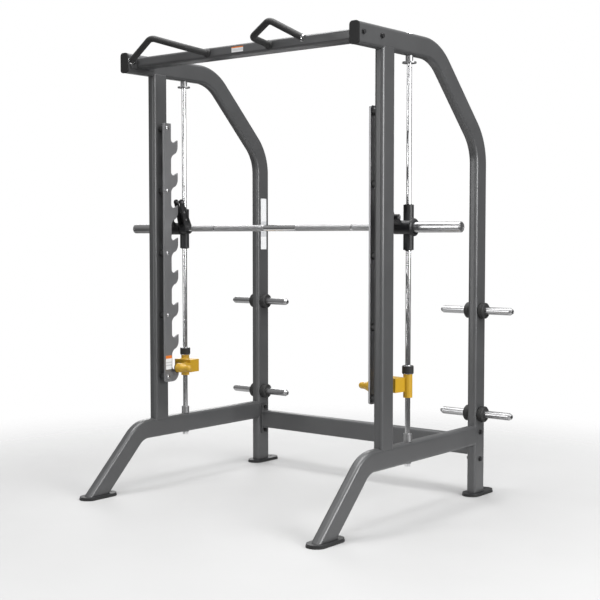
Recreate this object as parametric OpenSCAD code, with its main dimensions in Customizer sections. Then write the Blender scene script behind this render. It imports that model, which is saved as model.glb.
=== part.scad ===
// Smith machine: a free-standing rack whose barbell runs on two upright guide rods.
// Origin on the floor, midway between the side frames and midway between the feet.
// X runs along the bar, Y to the rear and Z up. Right-hand pieces are drawn on +X and mirrored for the left.

/* [Overall] */
// Distance between the centre planes of the two side frames
frame_spacing = 1480; // [1350:10:1600]
// Floor to the top face of the top rails
frame_height = 2298; // [2150:2:2450]
// Front end of the front feet to the rear end of the rear feet
base_depth = 1532; // [1450:2:1700]
// End to end length of the barbell
bar_length = 2136; // [2050:2:2300]

/* [Frame tube] */
// Deep side of the frame tube
tube_d = 102; // [90:1:120]
// Narrow side of the frame tube
tube_w = 51; // [45:1:60]
// Outside corner radius of the frame tube
tube_corner = 16; // [8:1:20]
// Wall of the frame tube
tube_wall = 3; // [2:0.5:5]
// Centre-line radius of the two bends in each top rail
top_bend_r = 250; // [180:5:300]
// Centre-line radius of the bend above each front leg
leg_bend_r = 140; // [100:5:180]
// Front foot end to the front face of the front posts
front_post_setback = 503; // [470:1:540]
// Rear foot end to the rear face of the rear posts
rear_post_setback = 83; // [70:1:100]
// Floor to the top face of the base rails
base_rail_top = 365; // [330:1:400]
// Top rail overhang in front of the front posts
top_rail_overhang = 189; // [160:1:220]

/* [Feet] */
// Length of each foot plate
foot_length = 222; // [200:2:260]
// Width of each foot plate
foot_width = 96; // [80:2:120]
// Thickness of each steel foot plate
foot_plate_t = 8; // [5:1:12]
// Thickness of each rubber foot pad
foot_pad_t = 8; // [5:1:12]
// Diameter of the floor anchor holes
anchor_hole_d = 14; // [10:1:16]

/* [Cross members] */
// Height of the flat top cross member
top_cross_h = 51; // [40:1:60]
// Depth of the flat top cross member
top_cross_d = 102; // [80:1:110]
// Setback of the top cross member from the front ends of the top rails
top_cross_setback = 56; // [40:1:90]
// Thickness of the cross member end plates
end_plate_t = 8; // [6:1:12]
// Height of the lower cross member's centre above the floor
rear_cross_z = 259; // [230:1:290]
// Shank diameter of the frame bolts
frame_bolt_d = 12; // [10:1:14]

/* [Guide rods] */
// Diameter of the guide rods
rod_d = 25; // [20:1:30]
// Distance from the front posts' rear faces to the rod axes
rod_setback = 151; // [130:1:180]
// Radial clearance of every sliding and turning fit
running_gap = 0.05; // [0.02:0.01:0.1]
// Diameter of the turned studs at the rod ends
rod_stud_d = 16; // [12:1:18]

/* [Rack plates] */
// Thickness of the rack plates
rack_t = 10; // [6:1:12]
// Width of the rack plates between hooks
rack_w = 54; // [45:1:65]
// Rack plate front edge to the hook tips
hook_reach = 104; // [95:1:115]
// Hooks on each rack plate
hook_count = 8; // [6:1:8]
// Distance between neighbouring hooks
hook_pitch = 174.7; // [150:0.1:180]
// Height of the lowest hook tip
lowest_tip_z = 640; // [600:1:680]
// Radius of the round seat in each hook
hook_seat_r = 18; // [14:1:20]
// Gap between each rack plate and its front post
rack_standoff = 35; // [30:1:45]
// Diameter of the spacers behind the rack plates
spacer_d = 36; // [26:1:40]
// Shank diameter of the rack bolts
rack_bolt_d = 12; // [10:1:14]

/* [Barbell] */
// Diameter of the bar between the sleeves
bar_d = 32; // [28:1:34]
// Diameter of the weight sleeves
sleeve_d = 50; // [48:1:50]
// Distance of the bar axis in front of the guide rods
bar_offset = 58; // [52:1:70]
// Diameter of the bar housings on the carriages
housing_d = 65; // [60:1:74]
// Length of each carriage's slide tube
slide_l = 214; // [180:2:240]
// Outside diameter of each carriage's slide tube
slide_d = 50; // [46:1:60]
// Diameter of the sleeve collars
collar_d = 84; // [76:1:96]
// Radius of the cross pins that hook on the rack plates
hook_pin_r = 7; // [6:0.5:8]
// Height of the hooked cross pin above the bar axis
hook_arm_rise = 118; // [100:1:125]
// Angle that the hooks are rolled back from the racked position
rolled_back = 19; // [19:1:26]

/* [Safety stops] */
// Outside diameter of the stop sleeves
stop_sleeve_d = 44; // [40:1:50]
// Length of the stop sleeves
stop_sleeve_l = 113; // [100:1:125]
// Outside diameter of the rubber bumper rings
bumper_ring_d = 56; // [50:1:64]
// Height of the rubber bumper rings
bumper_ring_h = 32; // [24:1:40]
// Radius of the stop pegs that rest in the hooks
stop_peg_r = 8; // [6:0.5:9]
// Angle that the stops are turned out of the hooks
stop_turned_out = 6; // [6:1:12]

/* [Weight horns] */
// Diameter of the weight horns
horn_d = 38; // [30:1:50]
// Reach of each weight horn from the centre plane of its side frame
horn_reach = 210; // [180:5:260]
// Height of the upper weight horns
upper_horn_z = 963; // [900:1:1000]
// Height of the lower weight horns
lower_horn_z = 425; // [400:1:500]
// Diameter of the rubber horn bumpers
horn_bumper_d = 82; // [70:1:95]
// Thickness of the rubber horn bumpers
horn_bumper_t = 32; // [20:1:40]

/* [Pull-up grips] */
// Diameter of the grip tubes
grip_d = 30; // [28:1:36]
// Distance between the roots of the two grips
grip_root_spacing = 400; // [360:10:440]
// Reach of the grips in front of the top cross member
grip_reach = 211; // [185:1:230]
// Rise of each grip's peak above its root
grip_rise = 66; // [50:1:90]

/* [Hidden] */
$fn = 64;
frame_x = frame_spacing / 2;
inner_x = frame_x - tube_w / 2;
outer_x = frame_x + tube_w / 2;
floor_top = foot_pad_t + foot_plate_t;
front_post_y = -base_depth / 2 + front_post_setback + tube_d / 2;
rear_post_y = base_depth / 2 - rear_post_setback - tube_d / 2;
base_rail_z = base_rail_top - tube_d / 2;
top_rail_z = frame_height - tube_d / 2;
top_rail_front = front_post_y - tube_d / 2 - top_rail_overhang;
rod_y = front_post_y + tube_d / 2 + rod_setback;
bend_angle = 45;
top_bend_t = top_bend_r * tan(bend_angle / 2);
leg_bend_t = leg_bend_r * tan(bend_angle / 2);
// The slanted run joins the top rail and the rear post at 45 degrees
slant_run = 428;
top_corner_y = rear_post_y - slant_run;
post_corner_z = top_rail_z - slant_run;
front_foot_y = -base_depth / 2 + foot_length / 2;
rear_foot_y = base_depth / 2 - foot_length / 2;
leg_foot_y = front_foot_y - 9;
leg_corner_y = leg_foot_y + (base_rail_z - floor_top);
cap_t = 8;
anchor_inset = 24;
front_anchor_y = front_foot_y + foot_length / 2 - anchor_inset;
rear_anchor_y = rear_foot_y + foot_length / 2 - 41;
bolt_hole_gap = 0.25;
head_w = 19;
head_h = 7.5;
washer_d = 26;
washer_t = 2.5;

top_cross_y = top_rail_front + top_cross_setback + top_cross_d / 2;
top_cross_z = frame_height - 46;
top_bolt_dy = 72;
rear_bolt_dz = 70;
end_plate_margin = 36;
cross_corner = 12;
// Gap left for the weld where a coped tube end meets the next tube
weld_gap = 0.1;
// Step down in the horn's radius where the rubber bumper sits
horn_spigot = 1;

rack_x_in = inner_x - rack_standoff - rack_t;
rack_x_mid = rack_x_in + rack_t / 2;
rack_front_y = rod_y - 226;
rack_bolt_count = 5;
rack_bolt_in = 24;
rack_end_drop = 78;
rack_top_rise = 87;
rack_bottom_z = lowest_tip_z - rack_end_drop;
rack_top_z = lowest_tip_z + (hook_count - 1) * hook_pitch + rack_top_rise;
rack_bolt_end = 28;
rack_bolt_step = (rack_top_z - rack_bottom_z - 2 * rack_bolt_end) / (rack_bolt_count - 1);
rack_bolt_zs = [for (i = [0 : rack_bolt_count - 1]) rack_bottom_z + rack_bolt_end + i * rack_bolt_step];
// A hook's seat: a round notch, then a ramp up to the tip
seat_y = rack_w + hook_seat_r;
ramp_angle = 27;
ramp_y = seat_y + hook_seat_r * sin(ramp_angle);
ramp_z = -hook_seat_r * cos(ramp_angle);
tip_over_seat = ramp_z + (hook_reach - ramp_y) * tan(ramp_angle);
// Below the tip the hook's back is straight, then round, then hollow into the plate edge
hook_back_h = 36;
hook_round_r = 45;
hook_hollow_r = 40;
round_y = hook_reach - hook_round_r;
// The hollow bites a little into the plate edge and the rounding, so that no two outlines only just touch
hollow_bite = 1;
hollow_y = rack_w + hook_hollow_r - hollow_bite;
hollow_drop = sqrt(pow(hook_round_r + hook_hollow_r - hollow_bite, 2) - pow(hollow_y - round_y, 2));

// The barbell hangs racked in the third hook from the top
hook3_seat_z = lowest_tip_z + (hook_count - 3) * hook_pitch - tip_over_seat - hook_seat_r;
bar_y = rod_y - bar_offset;
seat_gap = 0.4;
bar_z = hook3_seat_z + seat_gap + hook_pin_r - hook_arm_rise;
hook_pin_dy = rack_front_y + seat_y - bar_y;
hook_arm_l = norm([hook_pin_dy, hook_arm_rise]);
hook_arm_angle = atan2(hook_arm_rise, hook_pin_dy);
fork_gap = 32;
fork_t = 8;
fork_in = rack_x_mid - fork_gap / 2 - fork_t;
fork_out = rack_x_mid + fork_gap / 2 + fork_t;
hub_r = 29;
fork_end_r = 15;
arm_waist = 2;
housing_in = fork_out + 4;
housing_out = outer_x + 34;
collar_t = 16;
collar_gap = 1;
sleeve_in = housing_out + collar_gap + collar_t;
bar_end = bar_length / 2;
sleeve_cap_t = 14;
bush_t = 6;
bush_l = 34;
liner_t = 5;
liner_l = 40;
// Roll stop boss in front of and above the bar housing
roll_boss_dy = -62;
roll_boss_dz = 46;
roll_boss_r = 15;
carriage_neck_w = 40;
carriage_neck_h = 54;

// Safety stops: the pegs lie in the lowest hooks
peg_room = hook_seat_r - stop_peg_r - 0.7;
peg_lean = 36;
stop_peg_z = lowest_tip_z - tip_over_seat - peg_room * cos(peg_lean);
stop_peg_y = rack_front_y + seat_y - peg_room * sin(peg_lean);
stop_sleeve_z = stop_peg_z - 59;
stop_box_w = 76;
stop_box_h = 68;
stop_box_in = frame_x - 108;
stop_boss_r = 25;
stop_handle_r = 16;
stop_handle_in = frame_x - 166;
stop_washer_t = 3;
stop_washer_gap = 1.5;
stop_boss_x = rack_x_in - stop_washer_gap - stop_washer_t;
stop_peg_out = rack_x_in + rack_t + 1;
ring_z = stop_sleeve_z + stop_sleeve_l;
ring_washer_t = 4;

rod_collar_h = 36;
rod_flange_d = 68;
rod_flange_t = 7;
rod_base_collar_d = 41;
rod_base_collar_h = 38;
nut_w = 28;
nut_h = 13;

grip_root_x = grip_root_spacing / 2;
grip_front_y = top_cross_y - top_cross_d / 2;
grip_points = [
    [grip_root_x, grip_front_y, top_cross_z],
    [grip_root_x + 20, grip_front_y - grip_reach + 66, top_cross_z + 14],
    [grip_root_x + 180, grip_front_y - grip_reach, top_cross_z + grip_rise],
    [grip_root_x + 350, grip_front_y - grip_reach + 30, top_cross_z - 26]
];
grip_cap_l = 6;
grip_ball_extra = 1;

charcoal = [0.24, 0.24, 0.25];
steel = [0.62, 0.62, 0.63];
chrome = [0.82, 0.83, 0.84];
black = [0.07, 0.07, 0.07];
stop_yellow = [0.86, 0.62, 0.08];
bronze = [0.62, 0.45, 0.2];

// ---------- shared shapes ----------

// Draws its children on the right, on the left, or on both sides
module on_left() { mirror([1, 0, 0]) children(); }
module on_both() {
    children();
    on_left() children();
}

// Turns a local XY drawing into the frame's YZ plane, with local Z along X
module in_side_plane() { rotate([90, 0, 90]) children(); }

// Solid rounded rectangle, exact arcs
module round_rect(w, h, r) {
    square([w - 2 * r, h], center = true);
    square([w, h - 2 * r], center = true);
    for (x = [-1, 1], y = [-1, 1]) translate([x * (w / 2 - r), y * (h / 2 - r)]) circle(r = r);
}

// Section of the frame tube, or the solid that copes another tube round it with the weld's gap
module tube_section(solid = false) {
    if (solid)
        round_rect(tube_d + 2 * weld_gap, tube_w + 2 * weld_gap, tube_corner + weld_gap);
    else difference() {
        round_rect(tube_d, tube_w, tube_corner);
        round_rect(tube_d - 2 * tube_wall, tube_w - 2 * tube_wall, tube_corner - tube_wall);
    }
}

// Straight length of frame tube from point p, heading at the given angle in the side plane
module tube_run(p, heading, length, solid = false)
    translate([p[0], p[1], 0]) rotate([0, 0, heading]) rotate([90, 0, 90])
        linear_extrude(height = length) tube_section(solid);

// Bend of frame tube round centre c, from angle a to angle b
module tube_bend(c, radius, a, b, solid = false)
    translate([c[0], c[1], 0]) rotate([0, 0, a])
        rotate_extrude(angle = b - a, $fn = 96) translate([radius, 0]) tube_section(solid);

// Cylinder along X from x0 to x1
module x_rod(x0, x1, r, y, z, fn = 64)
    translate([x0, y, z]) rotate([0, 90, 0]) cylinder(r = r, h = x1 - x0, $fn = fn);

// Cone along X from radius r0 at x0 to radius r1 at x1
module x_cone(x0, x1, r0, r1, y, z)
    translate([x0, y, z]) rotate([0, 90, 0]) cylinder(r1 = r0, r2 = r1, h = x1 - x0);

// Hexagon bar along X
module x_hex(x0, x1, across, y, z)
    translate([x0, y, z]) rotate([0, 90, 0]) cylinder(d = across / cos(30), h = x1 - x0, $fn = 6);

// Round rod between two points
module strut(p, q, r) {
    v = q - p;
    length = norm(v);
    translate(p) rotate([0, acos(v[2] / length), atan2(v[1], v[0])]) cylinder(r = r, h = length);
}

// ---------- side frames ----------

// Level run and front bend of the bent tube
module top_rail_path(solid = false) {
    run_start = top_rail_front + cap_t;
    in_side_plane() {
        tube_run([run_start, top_rail_z], 0, top_corner_y - top_bend_t - run_start, solid);
        tube_bend([top_corner_y - top_bend_t, top_rail_z - top_bend_r], top_bend_r, 45, 90, solid);
    }
}

// Slant between the two bends
module slant_path() {
    slant_start = [top_corner_y, top_rail_z] + top_bend_t * [cos(45), -sin(45)];
    in_side_plane() tube_run(slant_start, -45, slant_run * sqrt(2) - 2 * top_bend_t);
}

// Rear bend and upright run
module rear_post_path(solid = false) {
    bend2 = [rear_post_y - top_bend_r, post_corner_z - top_bend_t];
    in_side_plane() {
        tube_bend(bend2, top_bend_r, 0, 45, solid);
        tube_run([rear_post_y, post_corner_z - top_bend_t], -90, post_corner_z - top_bend_t - floor_top, solid);
    }
}

module base_rail_path(solid = false) {
    leg_l = (base_rail_z - floor_top) * sqrt(2) - leg_bend_t + tube_d;
    leg_start = [leg_corner_y, base_rail_z] - leg_bend_t * [cos(45), sin(45)];
    rail_start = rear_post_y - tube_d / 2 + tube_corner;
    in_side_plane() {
        tube_run([rail_start, base_rail_z], 180, rail_start - leg_corner_y - leg_bend_t, solid);
        tube_bend([leg_corner_y + leg_bend_t, base_rail_z - leg_bend_r], leg_bend_r, 90, 135, solid);
        tube_run(leg_start, 225, leg_l, solid);
    }
}

module rod_stud_hole() translate([frame_x, rod_y, 0])
    cylinder(d = rod_stud_d + 2 * bolt_hole_gap, h = frame_height + 10);

module top_rail() color(charcoal) difference() {
    translate([frame_x, 0, 0]) top_rail_path();
    rod_stud_hole();
    for (s = [-1, 1]) frame_bolt_hole(top_cross_y + s * top_bolt_dy, top_cross_z);
}

module slant_tube() color(charcoal) translate([frame_x, 0, 0]) slant_path();

module rear_post() color(charcoal) difference() {
    translate([frame_x, 0, 0]) rear_post_path();
    for (s = [-1, 1]) frame_bolt_hole(rear_post_y, rear_cross_z + s * rear_bolt_dz);
}

module base_rail() color(charcoal) difference() {
    translate([frame_x, 0, 0]) base_rail_path();
    translate([frame_x, 0, 0]) rear_post_path(solid = true);
    translate([0, front_foot_y - foot_length, floor_top - 2 * tube_d])
        cube([2 * frame_x, 2 * foot_length, 2 * tube_d]);
    rod_stud_hole();
}

module front_post() color(charcoal) difference() {
    translate([frame_x, front_post_y, base_rail_top - tube_corner]) rotate([0, 0, 90])
        linear_extrude(height = frame_height - tube_d - base_rail_top + 2 * tube_corner) tube_section();
    translate([frame_x, 0, 0]) base_rail_path(solid = true);
    translate([frame_x, 0, 0]) top_rail_path(solid = true);
    for (z = rack_bolt_zs) rack_bolt_hole(inner_x - 1, inner_x + tube_wall + 1, z);
}

module frame_bolt_hole(y, z) x_rod(inner_x - 20, outer_x + 1, frame_bolt_d / 2 + bolt_hole_gap, y, z);
module rack_bolt_hole(x0, x1, z) x_rod(x0, x1, rack_bolt_d / 2 + bolt_hole_gap, front_post_y, z);

module left_top_rail() on_left() top_rail();
module right_top_rail() top_rail();
module left_slant_tube() on_left() slant_tube();
module right_slant_tube() slant_tube();
module left_rear_post() on_left() rear_post();
module right_rear_post() rear_post();
module left_base_rail() on_left() base_rail();
module right_base_rail() base_rail();
module left_front_post() on_left() front_post();
module right_front_post() front_post();

// Moulded caps that close the front ends of the top rails
module top_rail_caps() color(black) on_both()
    translate([frame_x, top_rail_front, top_rail_z]) rotate([-90, 90, 0]) {
        plug_in = 2 * tube_wall + 0.5;
        linear_extrude(height = cap_t) round_rect(tube_d + 2, tube_w + 2, tube_corner + 1);
        linear_extrude(height = cap_t + 16)
            round_rect(tube_d - plug_in, tube_w - plug_in, tube_corner - tube_wall);
    }

// ---------- cross members ----------

module flat_tube(w, h, r, wall, length) linear_extrude(height = length, center = true) difference() {
    round_rect(w, h, r);
    round_rect(w - 2 * wall, h - 2 * wall, r - wall);
}

module top_cross_member() color(charcoal) translate([0, top_cross_y, top_cross_z]) rotate([90, 0, 90])
    flat_tube(top_cross_d, top_cross_h, cross_corner, tube_wall, 2 * (inner_x - end_plate_t));

module rear_cross_member() color(charcoal) translate([0, rear_post_y, rear_cross_z]) rotate([90, 0, 90])
    flat_tube(tube_w, tube_d, cross_corner, tube_wall, 2 * (inner_x - end_plate_t));

// Plates welded to the ends of both cross members
module cross_end_plates() color(charcoal) on_both() {
    difference() {
        translate([inner_x - end_plate_t, top_cross_y, top_cross_z]) rotate([90, 0, 90])
            linear_extrude(height = end_plate_t)
                round_rect(2 * top_bolt_dy + end_plate_margin, top_cross_h + 8, cross_corner);
        for (s = [-1, 1]) frame_bolt_hole(top_cross_y + s * top_bolt_dy, top_cross_z);
    }
    difference() {
        translate([inner_x - end_plate_t, rear_post_y, rear_cross_z]) rotate([90, 0, 90])
            linear_extrude(height = end_plate_t)
                round_rect(tube_w, 2 * rear_bolt_dz + end_plate_margin, cross_corner);
        for (s = [-1, 1]) frame_bolt_hole(rear_post_y, rear_cross_z + s * rear_bolt_dz);
    }
}

// Through bolt with a hexagon head outside the side frame and a nut behind the end plate
module frame_bolt(y, z) {
    x_rod(outer_x, outer_x + washer_t, washer_d / 2, y, z);
    x_hex(outer_x + washer_t, outer_x + washer_t + head_h, head_w, y, z);
    x_rod(inner_x - end_plate_t - nut_h - 2, outer_x + washer_t, frame_bolt_d / 2, y, z);
    x_hex(inner_x - end_plate_t - nut_h, inner_x - end_plate_t, head_w, y, z);
}

module frame_bolts() color(black) on_both() for (s = [-1, 1]) {
    frame_bolt(top_cross_y + s * top_bolt_dy, top_cross_z);
    frame_bolt(rear_post_y, rear_cross_z + s * rear_bolt_dz);
}

// ---------- feet ----------

module foot_outline(grow) {
    r = foot_width / 2 + grow;
    straight = foot_length - foot_width;
    square([2 * r, straight], center = true);
    for (s = [-1, 1]) translate([0, s * straight / 2]) circle(r = r);
}

module foot_layer(z, t, grow, hole_d) on_both() for (front = [true, false]) difference() {
    translate([frame_x, front ? front_foot_y : rear_foot_y, z]) linear_extrude(height = t) foot_outline(grow);
    translate([frame_x, front ? front_anchor_y : rear_anchor_y, z - 1]) cylinder(d = hole_d, h = t + 2);
}

module foot_plates() color(black) foot_layer(foot_pad_t, foot_plate_t, -2, anchor_hole_d);
module foot_pads() color(black) foot_layer(0, foot_pad_t, 0, anchor_hole_d + 4);

// ---------- guide rods ----------

module guide_rod() color(chrome) translate([frame_x, rod_y, 0]) {
    stud_bottom = base_rail_top - tube_d - 18;
    translate([0, 0, base_rail_top + 6]) cylinder(d = rod_d, h = frame_height - tube_d - base_rail_top - 12);
    translate([0, 0, stud_bottom]) cylinder(d = rod_stud_d, h = frame_height + 16 - stud_bottom);
}

module left_guide_rod() on_left() guide_rod();
module right_guide_rod() guide_rod();

// Collar with a wide flange that stops the carriage below each top rail
module rod_top_flanges() color(steel) on_both()
    translate([frame_x, rod_y, frame_height - tube_d - rod_collar_h]) difference() {
        union() {
            cylinder(d = rod_flange_d, h = rod_flange_t);
            cylinder(d = rod_d + 11, h = rod_collar_h);
        }
        translate([0, 0, -1]) cylinder(d = rod_d + 0.4, h = rod_collar_h - 5 + 1);
        translate([0, 0, -1]) cylinder(d = rod_stud_d + 0.5, h = rod_collar_h + 2);
    }

// Turned collars above and below each base rail
module rod_base_collars() color(steel) on_both() translate([frame_x, rod_y, 0]) {
    difference() {
        translate([0, 0, base_rail_top]) cylinder(d = rod_base_collar_d, h = rod_base_collar_h);
        translate([0, 0, base_rail_top + 6 - 0.2]) cylinder(d = rod_d + 0.4, h = rod_base_collar_h);
        translate([0, 0, base_rail_top - 1]) cylinder(d = rod_stud_d + 0.5, h = rod_base_collar_h);
    }
    difference() {
        translate([0, 0, base_rail_top - tube_d - 4]) cylinder(d = rod_base_collar_d - 5, h = 4);
        translate([0, 0, base_rail_top - tube_d - 5]) cylinder(d = rod_stud_d + 0.5, h = 6);
    }
}

module rod_nut(z) translate([frame_x, rod_y, z]) difference() {
    cylinder(d = nut_w / cos(30), h = nut_h, $fn = 6);
    translate([0, 0, -1]) cylinder(d = rod_stud_d + 0.5, h = nut_h + 2);
}

module rod_nuts() color(chrome) on_both() {
    rod_nut(frame_height);
    rod_nut(base_rail_top - tube_d - 4 - nut_h);
}

// ---------- rack plates ----------

// One hook below its tip, in plate coordinates (y from the front edge, z from the tip)
module hook_outline() difference() {
    block_h = hook_back_h + hollow_drop;
    translate([0, -block_h]) square([hook_reach, block_h]);
    difference() {
        polygon([[round_y, -hook_back_h], [hook_reach + 1, -hook_back_h], [hook_reach + 1, -block_h - 1],
                 [hollow_y, -block_h - 1], [hollow_y, -block_h]]);
        translate([round_y, -hook_back_h]) circle(r = hook_round_r);
    }
    translate([hollow_y, -block_h]) circle(r = hook_hollow_r);
}

// The open seat above the hook: a round notch and a ramp to the tip
module seat_cut() translate([0, -tip_over_seat]) {
    translate([seat_y, 0]) circle(r = hook_seat_r);
    polygon([[seat_y, 0], [ramp_y, ramp_z], [hook_reach + 1, tip_over_seat + tan(ramp_angle)],
             [hook_reach + 1, hook_seat_r + 20], [rack_w, hook_seat_r + 20], [rack_w, 0]]);
}

module rack_outline() difference() {
    union() {
        square([rack_w, rack_top_z - rack_bottom_z]);
        for (i = [1 : hook_count - 1]) translate([0, rack_end_drop + i * hook_pitch]) hook_outline();
        // The lowest hook runs on down into a rounded lobe
        lobe_r = 46;
        translate([0, rack_end_drop - hook_back_h]) square([hook_reach, hook_back_h]);
        intersection() {
            square([hook_reach, rack_end_drop - hook_back_h + 5]);
            union() {
                translate([hook_reach - lobe_r, lobe_r]) circle(r = lobe_r);
                square([hook_reach - lobe_r, rack_end_drop]);
                translate([0, lobe_r]) square([hook_reach, rack_end_drop]);
            }
        }
    }
    for (i = [0 : hook_count - 1]) translate([0, rack_end_drop + i * hook_pitch]) seat_cut();
    for (z = [0, rack_top_z - rack_bottom_z]) corner_cut(z, 12);
}

// Rounds the front corner of the plate at its top or bottom end
module corner_cut(z, r) {
    up = z > 0 ? -1 : 1;
    difference() {
        translate([-1, z + (up > 0 ? -1 : -r)]) square([r + 1, r + 1]);
        translate([r, z + up * r]) circle(r = r);
    }
}

module rack_plate() color(steel) difference() {
    translate([rack_x_in, rack_front_y, rack_bottom_z]) rotate([90, 0, 90])
        linear_extrude(height = rack_t) rack_outline();
    for (z = rack_bolt_zs) rack_bolt_hole(rack_x_in - 1, rack_x_in + rack_t + 1, z);
}

module left_rack_plate() on_left() rack_plate();
module right_rack_plate() rack_plate();

module rack_spacers() color(black) on_both() for (z = rack_bolt_zs) difference() {
    x_rod(rack_x_in + rack_t, inner_x, spacer_d / 2, front_post_y, z);
    rack_bolt_hole(rack_x_in, inner_x + 1, z);
}

// Domed socket screws
module rack_bolts() color(chrome) on_both() for (z = rack_bolt_zs) difference() {
    union() {
        x_rod(rack_x_in, inner_x + tube_wall + 8, rack_bolt_d / 2, front_post_y, z);
        intersection() {
            translate([rack_x_in + 9, front_post_y, z]) sphere(r = 16);
            x_rod(rack_x_in - 7, rack_x_in, 11, front_post_y, z);
        }
    }
    x_hex(rack_x_in - 8, rack_x_in - 2, 8, front_post_y, z);
}

// ---------- weight storage ----------

module horn(x0, z) difference() {
    union() {
        x_rod(x0, x0 + horn_bumper_t + 1, horn_d / 2 - horn_spigot, rear_post_y, z);
        x_rod(x0 + horn_bumper_t, frame_x + horn_reach - 14, horn_d / 2, rear_post_y, z);
        x_cone(frame_x + horn_reach - 14, frame_x + horn_reach, horn_d / 2, horn_d / 2 - 8, rear_post_y, z);
    }
    x_rod(frame_x + horn_reach - 8, frame_x + horn_reach + 1, 5, rear_post_y, z);
}

module horns_of_one_side() color(chrome) for (z = [upper_horn_z, lower_horn_z]) {
    horn(outer_x, z);
    translate([2 * frame_x, 0, 0]) mirror([1, 0, 0]) horn(outer_x, z);
}

module left_weight_horns() on_left() horns_of_one_side();
module right_weight_horns() horns_of_one_side();

module horn_bumper(x0, z) difference() {
    x1 = x0 + horn_bumper_t;
    r = horn_bumper_d / 2;
    union() {
        x_cone(x0, x0 + 5, r - 4, r, rear_post_y, z);
        x_rod(x0 + 5, x1 - 5, r, rear_post_y, z);
        x_cone(x1 - 5, x1, r, r - 5, rear_post_y, z);
    }
    x_rod(x0 - 1, x1 + 1, horn_d / 2 - horn_spigot + 0.1, rear_post_y, z);
}

module horn_bumpers() color(black) on_both() for (z = [upper_horn_z, lower_horn_z]) {
    horn_bumper(outer_x, z);
    translate([2 * frame_x, 0, 0]) mirror([1, 0, 0]) horn_bumper(outer_x, z);
}

// ---------- pull-up grips ----------

module grip() color(black) difference() {
    union() {
        for (i = [0 : 2]) strut(grip_points[i], grip_points[i + 1], grip_d / 2);
        for (i = [1, 2]) translate(grip_points[i]) sphere(d = grip_d + grip_ball_extra);
        strut(grip_points[0], grip_points[0] + [0, -6, 0], grip_d / 2 + 8);
    }
    translate([0, grip_front_y, top_cross_z - 100]) cube([frame_x, 60, 200]);
}

module left_pull_up_grip() on_left() grip();
module right_pull_up_grip() grip();

module grip_end_caps() color(chrome) on_both() {
    heading = (grip_points[3] - grip_points[2]) / norm(grip_points[3] - grip_points[2]);
    strut(grip_points[3], grip_points[3] + grip_cap_l * heading, grip_d / 2 + 1);
}

// ---------- carriages ----------

module carriage() color(black) difference() {
    slide_z = bar_z - slide_l / 2;
    union() {
        translate([frame_x, rod_y, slide_z]) cylinder(d = slide_d, h = slide_l);
        x_rod(housing_in, housing_out, housing_d / 2, bar_y, bar_z);
        x_rod(inner_x, outer_x, roll_boss_r, bar_y + roll_boss_dy, bar_z + roll_boss_dz);
        // Neck that joins the bar housing to the slide tube
        translate([frame_x - carriage_neck_w / 2, bar_y, bar_z - carriage_neck_h / 2])
            cube([carriage_neck_w, rod_y - bar_y, carriage_neck_h]);
        // Web from the housing to the roll stop boss
        translate([frame_x - 12, bar_y, bar_z]) rotate([atan2(roll_boss_dz, roll_boss_dy) , 0, 0])
            translate([0, 0, -11]) cube([24, norm([roll_boss_dy, roll_boss_dz]), 22]);
    }
    translate([frame_x, rod_y, slide_z - 1]) cylinder(r = rod_d / 2 + liner_t + 0.1, h = slide_l + 2);
    x_rod(housing_in - 1, housing_out + 1, bar_d / 2 + bush_t + 0.1, bar_y, bar_z);
    x_rod(outer_x - 14, outer_x + 1, 6.2, bar_y + roll_boss_dy, bar_z + roll_boss_dz);
}

module left_carriage() on_left() carriage();
module right_carriage() carriage();

module ring_on_rod(z, h, r) translate([frame_x, rod_y, z]) difference() {
    cylinder(r = r, h = h);
    translate([0, 0, -1]) cylinder(r = rod_d / 2 + running_gap, h = h + 2);
}

module slide_liners() color(bronze) on_both() {
    ring_on_rod(bar_z - slide_l / 2 + 4, liner_l, rod_d / 2 + liner_t);
    ring_on_rod(bar_z + slide_l / 2 - 4 - liner_l, liner_l, rod_d / 2 + liner_t);
}

// Wiper seals that close each slide tube
module slide_seals() color(black) on_both() {
    ring_on_rod(bar_z - slide_l / 2 - 3, 6, rod_d / 2 + liner_t);
    ring_on_rod(bar_z + slide_l / 2 - 3, 6, rod_d / 2 + liner_t);
}

module bar_bushes() color(bronze) on_both() for (x = [housing_in, housing_out - bush_l]) difference() {
    x_rod(x, x + bush_l, bar_d / 2 + bush_t, bar_y, bar_z);
    x_rod(x - 1, x + bush_l + 1, bar_d / 2 + running_gap, bar_y, bar_z);
}

module roll_stop_bolts() color(chrome) on_both() {
    x_rod(outer_x - 13, outer_x, 6, bar_y + roll_boss_dy, bar_z + roll_boss_dz);
    x_hex(outer_x, outer_x + 5, 15, bar_y + roll_boss_dy, bar_z + roll_boss_dz);
}

// ---------- barbell ----------

module bar_shaft() color(chrome)
    x_rod(-bar_end + sleeve_cap_t, bar_end - sleeve_cap_t, bar_d / 2, bar_y, bar_z, 96);

module sleeve() color(chrome) difference() {
    x_rod(sleeve_in, bar_end - sleeve_cap_t, sleeve_d / 2, bar_y, bar_z, 96);
    x_rod(sleeve_in - 1, bar_end, bar_d / 2 + running_gap, bar_y, bar_z, 96);
}

module left_sleeve() on_left() sleeve();
module right_sleeve() sleeve();

// Chamfered collars that weight plates rest against
module sleeve_collars() color(black) on_both() difference() {
    x0 = housing_out + collar_gap;
    r = collar_d / 2;
    union() {
        x_cone(x0, x0 + 5, r - 8, r, bar_y, bar_z);
        x_rod(x0 + 5, sleeve_in - 5, r, bar_y, bar_z);
        x_cone(sleeve_in - 5, sleeve_in, r, r - 7, bar_y, bar_z);
    }
    x_rod(housing_out, sleeve_in + 1, bar_d / 2 + running_gap, bar_y, bar_z);
}

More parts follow.
